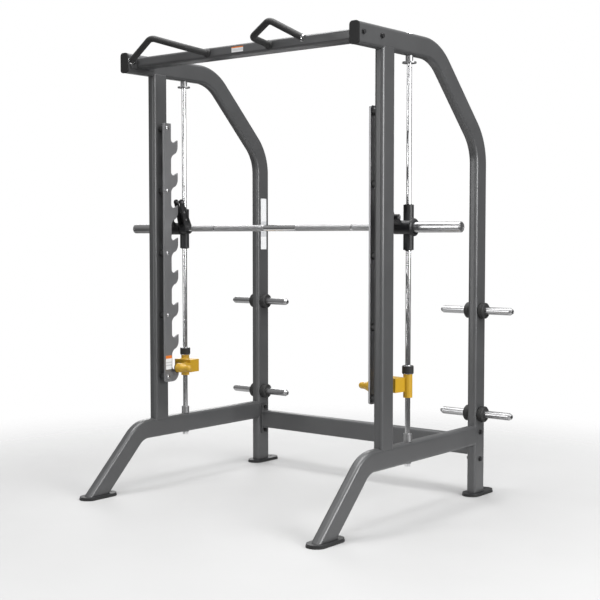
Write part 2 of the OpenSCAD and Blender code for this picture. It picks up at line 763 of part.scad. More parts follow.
module sleeve_end_caps() color(chrome) on_both() difference() {
    union() {
        x_rod(bar_end - sleeve_cap_t, bar_end - 4, sleeve_d / 2, bar_y, bar_z);
        x_cone(bar_end - 4, bar_end, sleeve_d / 2, sleeve_d / 2 - 4, bar_y, bar_z);
    }
    x_rod(bar_end - 3, bar_end + 1, sleeve_d / 2 - 9, bar_y, bar_z);
}

// Turns a piece with the bar from the racked position to its rolled-back rest
module rolled() translate([0, bar_y, bar_z]) rotate([-rolled_back, 0, 0]) children();

// Outline of a hook arm along +Y from the bar axis to the pin, round at both ends with a slight waist
module arm_outline() {
    hub_w = hub_r - arm_waist;
    end_w = fork_end_r - arm_waist;
    circle(r = hub_r);
    translate([hook_arm_l, 0]) circle(r = fork_end_r);
    polygon([[0, hub_w], [hook_arm_l, end_w], [hook_arm_l, -end_w], [0, -hub_w]]);
}

module hook_bracket() color(black) rolled() difference() {
    rotate([hook_arm_angle, 0, 0]) {
        for (x = [fork_in, fork_out - fork_t]) translate([x, 0, 0]) rotate([90, 0, 90])
            linear_extrude(height = fork_t) arm_outline();
        x_rod(fork_in + fork_t - 1, fork_out - fork_t + 1, hub_r - 1, 0, 0);
        // Web that joins the two arms behind the rack plate
        translate([fork_in + 1, 18, -18]) cube([fork_out - fork_in - 2, 74, 14]);
        // Raised rib on the inner arm
        translate([fork_in - 4, 30, -14]) cube([5, 78, 6]);
    }
    x_rod(fork_in - 10, fork_out + 10, bar_d / 2 + running_gap, 0, 0);
    x_rod(fork_in - 10, fork_out + 10, hook_pin_r + running_gap, hook_pin_dy, hook_arm_rise);
}

module left_hook_bracket() on_left() hook_bracket();
module right_hook_bracket() hook_bracket();

module hook_pins() color(steel) on_both() rolled()
    x_rod(fork_in - 2, fork_out + 2, hook_pin_r, hook_pin_dy, hook_arm_rise);

module hook_rivets() color(steel) on_both() rolled() rotate([hook_arm_angle, 0, 0])
    for (along = [52, 94]) x_rod(fork_in - 3, fork_in, 5, along, 4);

// ---------- safety stops ----------

// Turns a piece round the guide rod, from its peg in the hook to its turned-out rest
module turned_out() translate([frame_x, rod_y, 0]) rotate([0, 0, -stop_turned_out])
    translate([-frame_x, -rod_y, 0]) children();

module safety_stop() color(stop_yellow) turned_out() difference() {
    union() {
        translate([frame_x, rod_y, stop_sleeve_z]) cylinder(d = stop_sleeve_d, h = stop_sleeve_l);
        translate([stop_box_in, rod_y - 16 - stop_box_w, stop_peg_z - stop_box_h / 2 + 4])
            cube([frame_x - stop_box_in, stop_box_w, stop_box_h]);
        // Nose that carries the boss beside the rack plate
        translate([stop_box_in, stop_peg_y, stop_peg_z - 22])
            cube([stop_boss_x - stop_box_in, rod_y - 16 - stop_box_w - stop_peg_y + 1, 44]);
        x_rod(stop_box_in + 4, stop_boss_x, stop_boss_r, stop_peg_y, stop_peg_z);
        x_cone(stop_handle_in + 34, stop_box_in + 4, stop_handle_r, stop_boss_r, stop_peg_y, stop_peg_z);
        x_rod(stop_handle_in + stop_handle_r, stop_handle_in + 34, stop_handle_r, stop_peg_y, stop_peg_z);
        translate([stop_handle_in + stop_handle_r, stop_peg_y, stop_peg_z]) sphere(r = stop_handle_r);
        x_rod(stop_boss_x, stop_peg_out, stop_peg_r, stop_peg_y, stop_peg_z);
    }
    translate([frame_x, rod_y, stop_sleeve_z - 1]) cylinder(r = rod_d / 2 + running_gap, h = stop_sleeve_l + 2);
}

module left_safety_stop() on_left() safety_stop();
module right_safety_stop() safety_stop();

module stop_washer() color(black) turned_out() difference() {
    x_rod(stop_boss_x, stop_boss_x + stop_washer_t, stop_boss_r + 3, stop_peg_y, stop_peg_z);
    x_rod(stop_boss_x - 1, stop_boss_x + stop_washer_t + 1, stop_peg_r + running_gap, stop_peg_y, stop_peg_z);
}

module left_stop_washer() on_left() stop_washer();
module right_stop_washer() stop_washer();

module bumper_ring() color(black) ring_on_rod(ring_z + ring_washer_t + 0.3, bumper_ring_h, bumper_ring_d / 2);

module left_bumper_ring() on_left() bumper_ring();
module right_bumper_ring() bumper_ring();

module ring_washers() color(chrome) {
    ring_on_rod(ring_z + 0.3, ring_washer_t, bumper_ring_d / 2 - 2);
    ring_on_rod(ring_z + 0.3 + ring_washer_t + bumper_ring_h, ring_washer_t, bumper_ring_d / 2 - 2);
}

module left_ring_washers() on_left() ring_washers();
module right_ring_washers() ring_washers();

// ---------- what is drawn ----------

left_top_rail();
right_top_rail();
left_slant_tube();
right_slant_tube();
left_rear_post();
right_rear_post();
left_base_rail();
right_base_rail();
left_front_post();
right_front_post();
top_cross_member();
rear_cross_member();
cross_end_plates();
top_rail_caps();
frame_bolts();
foot_plates();
foot_pads();
left_guide_rod();
right_guide_rod();
rod_top_flanges();
rod_base_collars();
rod_nuts();
left_rack_plate();
right_rack_plate();
rack_spacers();
rack_bolts();
left_weight_horns();
right_weight_horns();
horn_bumpers();
left_pull_up_grip();
right_pull_up_grip();
grip_end_caps();
left_carriage();
right_carriage();
slide_liners();
bar_bushes();
slide_seals();
roll_stop_bolts();
bar_shaft();
left_sleeve();
right_sleeve();
sleeve_collars();
sleeve_end_caps();
left_hook_bracket();
right_hook_bracket();
hook_pins();
hook_rivets();
left_safety_stop();
right_safety_stop();
left_stop_washer();
right_stop_washer();
left_bumper_ring();
right_bumper_ring();
left_ring_washers();
right_ring_washers();
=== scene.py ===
import math

import bmesh
import bpy
from bpy.props import FloatProperty, FloatVectorProperty, IntProperty, PointerProperty
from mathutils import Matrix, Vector


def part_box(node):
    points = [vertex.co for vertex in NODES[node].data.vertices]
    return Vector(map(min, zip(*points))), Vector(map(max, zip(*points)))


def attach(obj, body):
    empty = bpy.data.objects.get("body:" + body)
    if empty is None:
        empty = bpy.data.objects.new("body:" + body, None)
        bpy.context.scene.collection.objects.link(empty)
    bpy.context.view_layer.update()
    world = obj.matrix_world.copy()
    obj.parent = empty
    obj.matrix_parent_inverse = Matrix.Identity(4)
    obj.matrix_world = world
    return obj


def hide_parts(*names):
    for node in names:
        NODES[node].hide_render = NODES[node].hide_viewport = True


bl_info = {
    "name": "Smith Machine Finish",
    "version": (1, 0, 0),
    "blender": (4, 5, 0),
    "location": "View3D > Sidebar > Smith Machine",
    "description": "Finishes, grips, decals and studio for a smith machine",
    "category": "Object",
}

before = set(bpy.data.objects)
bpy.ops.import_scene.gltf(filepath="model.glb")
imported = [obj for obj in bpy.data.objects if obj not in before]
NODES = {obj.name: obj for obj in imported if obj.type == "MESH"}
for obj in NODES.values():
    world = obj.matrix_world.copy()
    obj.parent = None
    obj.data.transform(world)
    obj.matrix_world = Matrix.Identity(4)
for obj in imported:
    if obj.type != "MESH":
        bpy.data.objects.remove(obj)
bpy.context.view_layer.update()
SIDES = (("left", -1), ("right", 1))


def mid(node):
    """Middle of a CAD node's box."""
    low, high = (Vector(corner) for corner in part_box(node))
    return (low + high) / 2


BAR_AXIS = mid("bar_shaft")
BAR_RADIUS = 0.016
# Longer side of the frame tube's section, and of the flat tube of the top cross member
TUBE_DEPTH = 0.102
CROSS_CORNER = 0.012
GRIP_FLANGE_RADIUS = 0.023
# Corners of the right grip from its root; the frame keeps no such points, so they repeat the design's
GRIP_CORNERS = ((0, 0, 0), (0.020, -0.145, 0.014), (0.180, -0.211, 0.066), (0.350, -0.181, -0.026))


# ---------- shader wiring ----------

class Wire:
    """A socket whose arithmetic adds Math nodes, so a mask reads as a formula."""

    def __init__(self, finish, socket):
        self.finish = finish
        self.socket = socket

    def _math(self, operation, first, second=None):
        values = {0: first} if second is None else {0: first, 1: second}
        return self.finish.node("ShaderNodeMath", {"operation": operation}, values)

    def __add__(self, other):
        return self._math("ADD", self, other)

    def __radd__(self, other):
        return self._math("ADD", other, self)

    def __sub__(self, other):
        return self._math("SUBTRACT", self, other)

    def __rsub__(self, other):
        return self._math("SUBTRACT", other, self)

    def __mul__(self, other):
        return self._math("MULTIPLY", self, other)

    def __rmul__(self, other):
        return self._math("MULTIPLY", other, self)

    def __truediv__(self, other):
        return self._math("DIVIDE", self, other)

    def __gt__(self, other):
        return self._math("GREATER_THAN", self, other)

    def __lt__(self, other):
        return self._math("LESS_THAN", self, other)

    def root(self):
        return self._math("POWER", self, 0.5)

    def absolute(self):
        return self._math("ABSOLUTE", self)

    def ripple(self):
        """A smooth wave from 0 to 1 as the value turns through one radian cycle."""
        return self._math("SINE", self) * 0.5 + 0.5

    def out(self, name):
        """Another output of the node that this wire comes from."""
        return Wire(self.finish, self.socket.node.outputs[name])


class Finish:
    """One material being wired round its Principled shader."""

    INPUTS = {"color": "Base Color", "roughness": "Roughness", "metallic": "Metallic",
              "normal": "Normal", "alpha": "Alpha", "specular": "Specular IOR Level",
              "coat": "Coat Weight", "coat_roughness": "Coat Roughness"}

    def __init__(self, name, **steady):
        self.material = bpy.data.materials.new(name)
        self.material.use_nodes = True
        self.tree = self.material.node_tree
        self.shader = self.tree.nodes["Principled BSDF"]
        for key, value in steady.items():
            self.shader.inputs[self.INPUTS[key]].default_value = value

    def node(self, kind, settings=None, values=None, output=0):
        """Adds a node, sets its settings, then its inputs from numbers, tuples or wires."""
        made = self.tree.nodes.new(kind)
        for key, value in (settings or {}).items():
            if key == "stops":
                for index, (place, colour) in enumerate(value):
                    stops = made.color_ramp.elements
                    stop = stops[index] if index < len(stops) else stops.new(place)
                    stop.position = place
                    stop.color = (*colour, 1)
            else:
                setattr(made, key, value)
        for key, value in (values or {}).items():
            if isinstance(value, Wire):
                self.tree.links.new(value.socket, made.inputs[key])
            else:
                made.inputs[key].default_value = value
        return Wire(self, made.outputs[output])

    def place(self):
        """The point on the surface, in metres in the machine's own frame."""
        return self.node("ShaderNodeTexCoord", output="Object")

    def axes(self):
        """The three coordinates of the point, as separate wires."""
        x = self.node("ShaderNodeSeparateXYZ", values={0: self.place()})
        return x, x.out("Y"), x.out("Z")

    def stretched(self, scale):
        """The point scaled by a different amount along each axis."""
        return self.node("ShaderNodeVectorMath", {"operation": "MULTIPLY"}, {0: self.place(), 1: scale})

    def noise(self, scale, detail=3.0, at=None):
        values = {"Vector": at or self.place(), "Scale": scale, "Detail": detail}
        return self.node("ShaderNodeTexNoise", values=values)

    def mix(self, mask, low, high):
        """Colour low where mask is 0 and high where it is 1."""
        low, high = (v if isinstance(v, Wire) else (*v, 1) for v in (low, high))
        return self.node("ShaderNodeMix", {"data_type": "RGBA"}, {0: mask, 6: low, 7: high}, output=2)

    def between(self, mask, low, high):
        """A number from low to high as mask goes from 0 to 1."""
        return mask * (high - low) + low

    def feed(self, **wires):
        for key, wire in wires.items():
            self.tree.links.new(wire.socket, self.shader.inputs[self.INPUTS[key]])

    def bump(self, height, depth, edge=0.0):
        """Bumps the surface; edge is the radius that softens the solid's sharp edges."""
        values = {"Height": height, "Distance": depth, "Strength": 1.0}
        if edge:
            values["Normal"] = self.node("ShaderNodeBevel", {"samples": 6}, {"Radius": edge})
        self.feed(normal=self.node("ShaderNodeBump", values=values))


def grey(value):
    return (value, value, value * 1.01)


def powder_coat(name, colour, roughness=0.42, metallic=0.0, flake=0.35):
    """Baked powder coat: orange peel, fine flakes and faint handling marks."""
    coat = Finish(name, metallic=metallic, specular=0.5, coat=0.35, coat_roughness=0.18)
    flakes = coat.noise(900, 1)
    marks = coat.noise(7, 6)
    dark = tuple(c * (1 - flake) for c in colour)
    light = tuple(min(1, c * (1 + flake)) for c in colour)
    coat.feed(color=coat.mix(coat.between(marks, 0.3, 0.7) * 0.6 + flakes * 0.4, dark, light))
    coat.feed(roughness=coat.between(marks, roughness - 0.07, roughness + 0.1))
    coat.bump(coat.noise(320, 2), 0.00012, edge=0.0015)
    return coat.material


def casting(name, colour):
    """Painted sand casting: pebbled skin under satin black."""
    cast = Finish(name, metallic=0.0, specular=0.45)
    pebbles = cast.noise(170, 4)
    rubbed = cast.noise(22, 5)
    cast.feed(color=cast.mix((rubbed > 0.62) * 0.35, colour, tuple(c * 2.4 for c in colour)))
    cast.feed(roughness=cast.between(rubbed, 0.34, 0.55))
    cast.bump(pebbles, 0.0003, edge=0.0018)
    return cast.material


def turned_chrome(name, colour, roughness, along):
    """Chrome with faint tool lines round the axis that it was turned on."""
    chrome = Finish(name, metallic=1.0)
    scale = [5.0, 5.0, 5.0]
    scale[along] = 260.0
    lines = chrome.noise(1, 2, chrome.stretched(scale))
    clouds = chrome.noise(9, 4)
    chrome.feed(color=chrome.mix(clouds, tuple(c * 0.9 for c in colour), colour))
    chrome.feed(roughness=chrome.between(clouds * 0.6 + lines * 0.4, roughness * 0.75, roughness * 1.25))
    chrome.bump(lines, 0.000002, edge=0.0008)
    return chrome.material


def brushed_plate(name, colour):
    """Stainless plate brushed along its height."""
    plate = Finish(name, metallic=1.0)
    grain = plate.noise(1, 3, plate.stretched((900.0, 900.0, 9.0)))
    clouds = plate.noise(11, 4)
    plate.feed(color=plate.mix(grain * 0.6 + clouds * 0.4, tuple(c * 0.72 for c in colour), colour))
    plate.feed(roughness=plate.between(grain, 0.36, 0.52))
    plate.bump(grain, 0.00003, edge=0.0008)
    return plate.material


def rubber(name, colour, ribs=None):
    """Matt moulded rubber, dusty in patches; ribs gives the count per metre and the axis."""
    skin = Finish(name, metallic=0.0, specular=0.35)
    dust = skin.noise(30, 5)
    skin.feed(color=skin.mix(dust, colour, tuple(c * 1.9 + 0.006 for c in colour)))
    skin.feed(roughness=skin.between(dust, 0.5, 0.72))
    height = skin.noise(600, 2) * 0.4
    if ribs:
        count, axis = ribs
        height = height + (skin.axes()[axis] * (2 * math.pi * count)).ripple()
    skin.bump(height, 0.0005, edge=0.0015)
    return skin.material


def knurled_bar(name, props):
    """Chrome bar with two knurled lengths, a plain middle and a plain ring in each length."""
    bar = Finish(name, metallic=1.0)
    x, y, z = bar.axes()
    reach = x.absolute()
    ring = (reach - props.ring_mark).absolute() > props.ring_width
    band = (reach > props.plain_middle) * (reach < props.knurl_end) * ring
    turn = bar.node("ShaderNodeMath", {"operation": "ARCTAN2"}, {0: z - BAR_AXIS.z, 1: y - BAR_AXIS.y})
    pitch = 2 * math.pi / props.knurl_pitch
    around = turn * BAR_RADIUS
    teeth = ((x + around) * pitch).ripple() * ((x - around) * pitch).ripple()
    wear = bar.noise(14, 4)
    bar.feed(color=bar.mix(band, grey(0.74), bar.mix(wear, grey(0.40), grey(0.56))))
    bar.feed(roughness=bar.between(band, 0.12, 0.42))
    bar.bump(teeth * band, 0.0004)
    return bar.material


def bronze(name):
    metal = Finish(name, metallic=1.0)
    oil = metal.noise(40, 4)
    metal.feed(color=metal.mix(oil, (0.30, 0.19, 0.07), (0.55, 0.38, 0.15)))
    metal.feed(roughness=metal.between(oil, 0.25, 0.45))
    return metal.material


def decal(name, header, low, high):
    """Blank sticker: a coloured header over a pale field with two plain grey bars."""
    film = Finish(name, metallic=0.0, specular=0.4)
    height = (film.axes()[2] - low) / (high - low)
    field = film.mix(film.noise(200, 2), (0.70, 0.71, 0.72), (0.82, 0.82, 0.82))
    bars = ((height - 0.5).absolute() < 0.05) * 0.5 + ((height - 0.3).absolute() < 0.05) * 0.5
    body = film.mix(bars, field, (0.35, 0.36, 0.38))
    film.feed(color=film.mix(height > 0.78, body, header))
    film.feed(roughness=film.between(film.noise(90, 2), 0.3, 0.45))
    return film.material


def coat_nodes(material, *names):
    """Gives every material slot of these CAD nodes one finish."""
    for name in names:
        for slot in NODES[name].material_slots:
            slot.material = material


def both(stem):
    return "left_" + stem, "right_" + stem


# ---------- mesh pieces ----------

def new_piece(name, mesh, material, body):
    """Links a finished mesh as a piece that rides on a CAD body."""
    piece = bpy.data.objects.new(name, mesh)
    bpy.context.scene.collection.objects.link(piece)
    mesh.materials.append(material)
    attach(piece, body)
    return piece


def rounded_path(corners, radius, steps=10):
    """Points along straight runs with a smooth bend of about this radius at each inner corner."""
    points = [corners[0]]
    for before, corner, after in zip(corners, corners[1:], corners[2:]):
        into = (corner - before).normalized()
        onward = (after - corner).normalized()
        cut = radius * math.tan(into.angle(onward) / 2)
        start, end = corner - into * cut, corner + onward * cut
        for i in range(steps + 1):
            t = i / steps
            points.append(start.lerp(corner, t).lerp(corner.lerp(end, t), t))
    return points + [corners[-1]]


def swept_tube(path, radii, sides=24):
    """Mesh tube round a path, with its own radius at each point and closed ends."""
    bm = bmesh.new()
    side = Vector((0, 0, 1))
    rings = []
    for i, point in enumerate(path):
        heading = (path[min(i + 1, len(path) - 1)] - path[max(i - 1, 0)]).normalized()
        side = (side - heading * side.dot(heading)).normalized()
        other = heading.cross(side)
        ring = []
        for k in range(sides):
            turn = 2 * math.pi * k / sides
            ring.append(bm.verts.new(point + radii[i] * (side * math.cos(turn) + other * math.sin(turn))))
        rings.append(ring)
    for a, b in zip(rings, rings[1:]):
        for k in range(sides):
            bm.faces.new((a[k], a[(k + 1) % sides], b[(k + 1) % sides], b[k]))
    bm.faces.new(reversed(rings[0]))
    bm.faces.new(rings[-1])
    bmesh.ops.recalc_face_normals(bm, faces=bm.faces)
    return finished_mesh(bm, "swept_tube")


def finished_mesh(bm, name, sharp=40):
    """Turns a bmesh into a mesh, smooth except across edges sharper than the given angle."""
    mesh = bpy.data.meshes.new(name)
    for face in bm.faces:
        face.smooth = True
    for edge in bm.edges:
        edge.smooth = len(edge.link_faces) == 2 and edge.calc_face_angle() < math.radians(sharp)
    bm.to_mesh(mesh)
    bm.free()
    return mesh


def sticker(centre, across, up, width, height, lift=0.0003, thick=0.0004):
    """Thin rounded plate on a flat face; across and up are unit vectors in that face."""
    bm = bmesh.new()
    out = across.cross(up)
    radius = min(width, height) * 0.08
    outline = []
    for sx, sy, start in ((1, -1, -90), (1, 1, 0), (-1, 1, 90), (-1, -1, 180)):
        for i in range(5):
            turn = math.radians(start + i * 22.5)
            u = sx * (width / 2 - radius) + radius * math.cos(turn)
            v = sy * (height / 2 - radius) + radius * math.sin(turn)
            outline.append(centre + across * u + up * v)
    back = [bm.verts.new(p + out * lift) for p in outline]
    front = [bm.verts.new(p + out * (lift + thick)) for p in outline]
    bm.faces.new(front)
    bm.faces.new(reversed(back))
    for i in range(len(outline)):
        j = (i + 1) % len(outline)
        bm.faces.new((back[i], back[j], front[j], front[i]))
    bmesh.ops.recalc_face_normals(bm, faces=bm.faces)
    return finished_mesh(bm, "sticker")


# ---------- settings ----------

class CoatSettings(bpy.types.PropertyGroup):
    frame_colour: FloatVectorProperty(
        name="Frame", description="Powder coat of the tubes",
        subtype="COLOR", default=(0.085, 0.086, 0.088), min=0, max=1)
    casting_colour: FloatVectorProperty(
        name="Castings", description="Satin black paint",
        subtype="COLOR", default=(0.014, 0.014, 0.015), min=0, max=1)
    stop_colour: FloatVectorProperty(
        name="Stops", description="Powder coat of the safety stops",
        subtype="COLOR", default=(0.50, 0.29, 0.010), min=0, max=1)
    plate_colour: FloatVectorProperty(
        name="Rack plates", description="Stainless rack plates",
        subtype="COLOR", default=(0.42, 0.42, 0.43), min=0, max=1)


class BarSettings(bpy.types.PropertyGroup):
    plain_middle: FloatProperty(
        name="Plain middle", description="Half length of the smooth middle",
        subtype="DISTANCE", unit="LENGTH", default=0.104)
    ring_mark: FloatProperty(
        name="Ring mark", description="Ring marks from the middle",
        subtype="DISTANCE", unit="LENGTH", default=0.455)
    ring_width: FloatProperty(
        name="Ring width", description="Half width of a ring mark",
        subtype="DISTANCE", unit="LENGTH", default=0.005)
    knurl_end: FloatProperty(
        name="Knurl end", description="End of the knurl from the middle",
        subtype="DISTANCE", unit="LENGTH", default=0.62)
    knurl_pitch: FloatProperty(
        name="Knurl pitch", description="Distance between knurl lines",
        subtype="DISTANCE", unit="LENGTH", default=0.0016)


class GripSettings(bpy.types.PropertyGroup):
    radius: FloatProperty(
        name="Radius", description="Radius of the covered tube",
        subtype="DISTANCE", unit="LENGTH", default=0.0155)
    bend: FloatProperty(
        name="Bend", description="Radius of the bends", subtype="DISTANCE", unit="LENGTH", default=0.05)
    sides: IntProperty(name="Sides", description="Faces round the tube", default=28, min=12)


class StageSettings(bpy.types.PropertyGroup):
    azimuth: FloatProperty(
        name="Azimuth", description="Viewing direction round the machine", subtype="ANGLE", unit="ROTATION",
        default=math.radians(38.778))
    elevation: FloatProperty(
        name="Elevation", description="Viewing direction above the horizon", subtype="ANGLE", unit="ROTATION",
        default=math.radians(3.074))
    distance: FloatProperty(
        name="Distance", description="Camera to the aimed point",
        subtype="DISTANCE", unit="LENGTH", default=5.6)
    aim: FloatVectorProperty(
        name="Aim", description="Point that the camera looks at",
        subtype="XYZ", unit="LENGTH", default=(0.342, -0.337, 1.044))
    lens: FloatProperty(name="Lens", description="Focal length in millimetres", default=70.63)
    room_low: FloatProperty(
        name="Room low", description="Brightness of the room at the horizon", default=0.10, min=0)
    room_high: FloatProperty(
        name="Room high", description="Brightness of the room overhead", default=0.5, min=0)
    fade_start: FloatProperty(
        name="Fade start", description="Where the floor starts to fade out",
        subtype="DISTANCE", unit="LENGTH", default=1.3)
    fade_end: FloatProperty(
        name="Fade end", description="Where the floor has faded out",
        subtype="DISTANCE", unit="LENGTH", default=3.4)


# ---------- operators ----------

class SMITH_OT_frame(bpy.types.Operator):
    """Powder coats the tubes, cross members and spacers"""
    bl_idname = "smith.frame"
    bl_label = "Coat the frame"

    def execute(self, context):
        colour = tuple(context.scene.smith_coat.frame_colour)
        coat = powder_coat("charcoal_powder_coat", colour, metallic=0.35)
        for stem in ("top_rail", "slant_tube", "rear_post", "base_rail", "front_post"):
            coat_nodes(coat, *both(stem))
        coat_nodes(coat, "top_cross_member", "rear_cross_member", "cross_end_plates")
        coat_nodes(casting("spacer_black", grey(0.03)), "rack_spacers")
        return {"FINISHED"}


class SMITH_OT_welds(bpy.types.Operator):
    """Lays weld beads where the posts meet the rails and the plates meet the cross members"""
    bl_idname = "smith.welds"
    bl_label = "Lay the welds"

    def bead(self, name, corners, closed, finish):
        """Wavy bead along a line of corners, as overlapping puddles of weld metal."""
        path = []
        ends = corners[1:] + corners[:1] if closed else corners[1:]
        for start, end in zip(corners, ends):
            steps = max(2, round((end - start).length / 0.0015))
            path += [start.lerp(end, i / steps) for i in range(steps)]
        path.append(ends[-1])
        radii = [0.0024 * (1 + 0.22 * math.sin(i * 1.9)) for i in range(len(path))]
        new_piece(name, swept_tube(path, radii, 8), finish, "root")

    def execute(self, context):
        finish = NODES["left_front_post"].material_slots[0].material
        # The post's rounded corners, and the height of the rack plate's end over the base rail
        corner, plate_rise = 0.016, 0.197
        for name, _ in SIDES:
            low, high = (Vector(end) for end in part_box(name + "_front_post"))
            flat = low.x + corner, high.x - corner
            rail_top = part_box(name + "_rack_plate")[0][2] - plate_rise
            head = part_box(name + "_top_rail")[1][2] - TUBE_DEPTH
            for label, z in (("base", rail_top), ("head", head)):
                for edge, y in (("front", low.y), ("rear", high.y)):
                    corners = [Vector((flat[0], y, z)), Vector((flat[1], y, z))]
                    self.bead("_".join((name, label, edge, "weld")), corners, False, finish)
        for name, tube in (("top", "top_cross_member"), ("rear", "rear_cross_member")):
            low, high = (Vector(end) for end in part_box(tube))
            y0, y1, z0, z1 = (low.y + CROSS_CORNER, high.y - CROSS_CORNER,
                              low.z + CROSS_CORNER, high.z - CROSS_CORNER)
            arcs = ((y1, z1, 0), (y0, z1, 90), (y0, z0, 180), (y1, z0, 270))
            for label, x in (("left", low.x), ("right", high.x)):
                ring = []
                for y, z, start in arcs:
                    for i in range(5):
                        turn = math.radians(start + i * 22.5)
                        ring.append(Vector((
                            x, y + CROSS_CORNER * math.cos(turn), z + CROSS_CORNER * math.sin(turn))))
                self.bead("_".join((name, "cross", label, "weld")), ring, True, finish)
        return {"FINISHED"}


class SMITH_OT_castings(bpy.types.Operator):
    """Paints the carriages, hook brackets, collars, bolts and foot plates"""
    bl_idname = "smith.castings"
    bl_label = "Paint the castings"

    def execute(self, context):
        paint = casting("satin_black_casting", tuple(context.scene.smith_coat.casting_colour))
        coat_nodes(paint, *both("carriage"), *both("hook_bracket"))
        coat_nodes(paint, "sleeve_collars", "frame_bolts", "foot_plates")
        return {"FINISHED"}


class SMITH_OT_bright_parts(bpy.types.Operator):
    """Gives the rods, horns, sleeves, screws and washers their chrome"""
    bl_idname = "smith.bright_parts"
    bl_label = "Chrome the bright parts"

    def execute(self, context):
        upright = turned_chrome("rod_chrome", grey(0.72), 0.16, along=2)
        level = turned_chrome("sleeve_chrome", grey(0.48), 0.30, along=0)
        coat_nodes(upright, *both("guide_rod"), "rod_nuts", *both("ring_washers"))
        coat_nodes(level, *both("sleeve"), "sleeve_end_caps", *both("weight_horns"))
        coat_nodes(level, "rack_bolts", "roll_stop_bolts")
        coat_nodes(brushed_plate("machined_steel", grey(0.36)), "rod_base_collars", "rod_top_flanges",
                   "hook_pins", "hook_rivets")
        coat_nodes(bronze("oiled_bronze"), "slide_liners", "bar_bushes")
        return {"FINISHED"}


class SMITH_OT_bar(bpy.types.Operator):
    """Knurls the bar"""
    bl_idname = "smith.bar"
    bl_label = "Knurl the bar"

    def execute(self, context):
        coat_nodes(knurled_bar("knurled_chrome", context.scene.smith_bar), "bar_shaft")
        return {"FINISHED"}


class SMITH_OT_rack_plates(bpy.types.Operator):
    """Brushes the rack plates"""
    bl_idname = "smith.rack_plates"
    bl_label = "Brush the rack plates"

    def execute(self, context):
        colour = tuple(context.scene.smith_coat.plate_colour)
        coat_nodes(brushed_plate("brushed_stainless", colour), *both("rack_plate"))
        return {"FINISHED"}


class SMITH_OT_stops(bpy.types.Operator):
    """Powder coats the safety stops"""
    bl_idname = "smith.stops"
    bl_label = "Coat the safety stops"

    def execute(self, context):
        colour = tuple(context.scene.smith_coat.stop_colour)
        yellow = powder_coat("yellow_powder_coat", colour, roughness=0.4, flake=0.08)
        coat_nodes(yellow, *both("safety_stop"))
        return {"FINISHED"}


class SMITH_OT_rubber(bpy.types.Operator):
    """Gives the pads, bumpers, seals and caps their rubber and plastic"""
    bl_idname = "smith.rubber"
    bl_label = "Mould the rubber"

    def execute(self, context):
        plain = rubber("moulded_rubber", grey(0.014))
        coat_nodes(plain, "foot_pads", "horn_bumpers", "slide_seals", *both("stop_washer"))
        coat_nodes(rubber("ribbed_rubber", grey(0.012), ribs=(130, 2)), *both("bumper_ring"))
        coat_nodes(rubber("cap_plastic", grey(0.007)), "top_rail_caps")
        return {"FINISHED"}


class SMITH_OT_grips(bpy.types.Operator):
    """Makes the two rubber-covered pull-up grips and their end caps"""
    bl_idname = "smith.grips"
    bl_label = "Make the pull-up grips"

    def execute(self, context):
        props = context.scene.smith_grip
        cover = rubber("grip_rubber", grey(0.016), ribs=(160, 0))
        coat_nodes(turned_chrome("cap_chrome", grey(0.8), 0.12, along=0), "grip_end_caps")
        for name, sign in SIDES:
            low, high = (Vector(corner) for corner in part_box(name + "_pull_up_grip"))
            root_x = low.x + GRIP_FLANGE_RADIUS if sign > 0 else high.x - GRIP_FLANGE_RADIUS
            root = Vector((root_x, high.y, mid("top_cross_member").z))
            corners = [root + Vector((sign * x, y, z)) for x, y, z in GRIP_CORNERS]
            path = rounded_path(corners, props.bend)
            tube = swept_tube(path, [props.radius] * len(path), props.sides)
            piece = new_piece(name + "_grip_cover", tube, cover, "root")
            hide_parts(name + "_pull_up_grip")
            flare = [root + Vector((0, -y, 0)) for y in (0, 0.003, 0.007, 0.012)]
            flange = swept_tube(flare, [GRIP_FLANGE_RADIUS, GRIP_FLANGE_RADIUS, 0.020, 0.016], 32)
            new_piece(name + "_grip_flange", flange, cover, "root")
        return {"FINISHED"}


class SMITH_OT_decals(bpy.types.Operator):
    """Sticks blank decals on the cross member, rack plates and left rear post"""
    bl_idname = "smith.decals"
    bl_label = "Stick the decals"

    def stick(self, name, header, body, centre, across, up, width, height):
        half = height / 2
        # A lying decal has no height, so a hair is added at both ends of the range
        low = centre.z - half * abs(up.z) - 0.0001
        high = centre.z + half * abs(up.z) + 0.0001
        film = decal(name + "_film", header, low, high)
        new_piece(name, sticker(centre, across, up, width, height), film, body)

    def execute(self, context):
        orange = (0.75, 0.20, 0.03)
        up = Vector((0, 0, 1))
        front = mid("top_cross_member") - Vector((0, TUBE_DEPTH / 2, 0))
        self.stick("cross_member_decal", orange, "root", front, Vector((1, 0, 0)), up, 0.075, 0.026)
        for name, sign in SIDES:
            low, high = (Vector(corner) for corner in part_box(name + "_rack_plate"))
            inner = high.x if sign < 0 else low.x
            spot = Vector((inner, low.y + 0.028, low.z + 0.105))
            self.stick(name + "_rack_decal", orange, "root", spot, Vector((0, -sign, 0)), up, 0.045, 0.075)
        post_low, post_high = (Vector(corner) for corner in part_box("left_rear_post"))
        spot = Vector((post_high.x, post_high.y - TUBE_DEPTH / 2, 1.42))
        self.stick("rear_post_decal", (0.75, 0.76, 0.77), "root", spot, Vector((0, 1, 0)), up, 0.05, 0.30)
        return {"FINISHED"}


